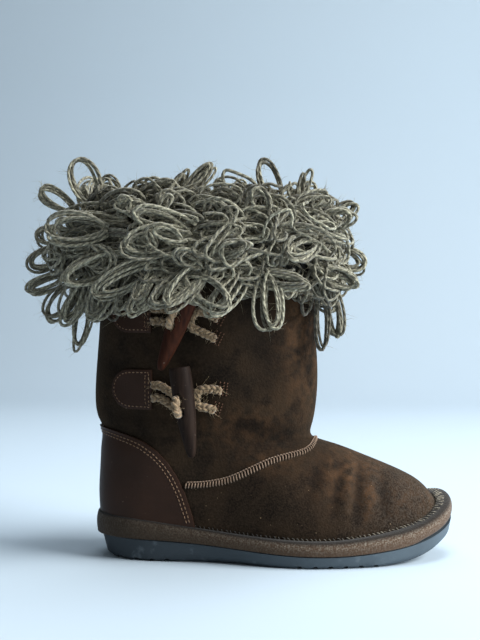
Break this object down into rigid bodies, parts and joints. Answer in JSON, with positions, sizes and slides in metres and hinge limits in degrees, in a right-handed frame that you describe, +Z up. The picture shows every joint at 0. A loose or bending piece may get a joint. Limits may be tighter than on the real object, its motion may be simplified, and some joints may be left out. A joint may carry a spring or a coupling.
{
  "type": "bootie slipper",
  "caption": "Ankle-high suede slipper boot for the right foot, with a wrapped wedge sole, a leather heel counter, horn toggles on rope and a cuff of yarn loops.",
  "frame": {"origin": "on the floor under the middle of the heel, 35 mm ahead of the back of the sole", "axes": "+X to the toe, +Y to the inner side of the foot, +Z up"},
  "size_m": [0.3195, 0.1663, 0.2913],
  "materials": {
    "outsole_rubber": "matte moulded foam rubber",
    "rand_suede": "dusty suede wrap",
    "insole_fleece": "pile",
    "upper_suede": "worn suede",
    "smooth_leather": "smooth, low sheen",
    "seam_thread": "thick sewing thread",
    "toggle_horn": "satin, horn colour",
    "rope": "braided jute",
    "cuff_yarn": "hairy wool yarn"
  },
  "bodies": {
    "root": {"outsole": "outsole_rubber", "rand": "rand_suede", "insole": "insole_fleece", "upper": "upper_suede", "heel_counter": "smooth_leather", "vamp_seam": "seam_thread", "tab_lower": "smooth_leather", "toggle_lower": "toggle_horn", "tab_cord_lower": "rope", "loop_cord_lower": "rope", "tab_upper": "smooth_leather", "toggle_upper": "toggle_horn", "tab_cord_upper": "rope", "loop_cord_upper": "rope", "cuff": "cuff_yarn"}
  },
  "joints": []
}
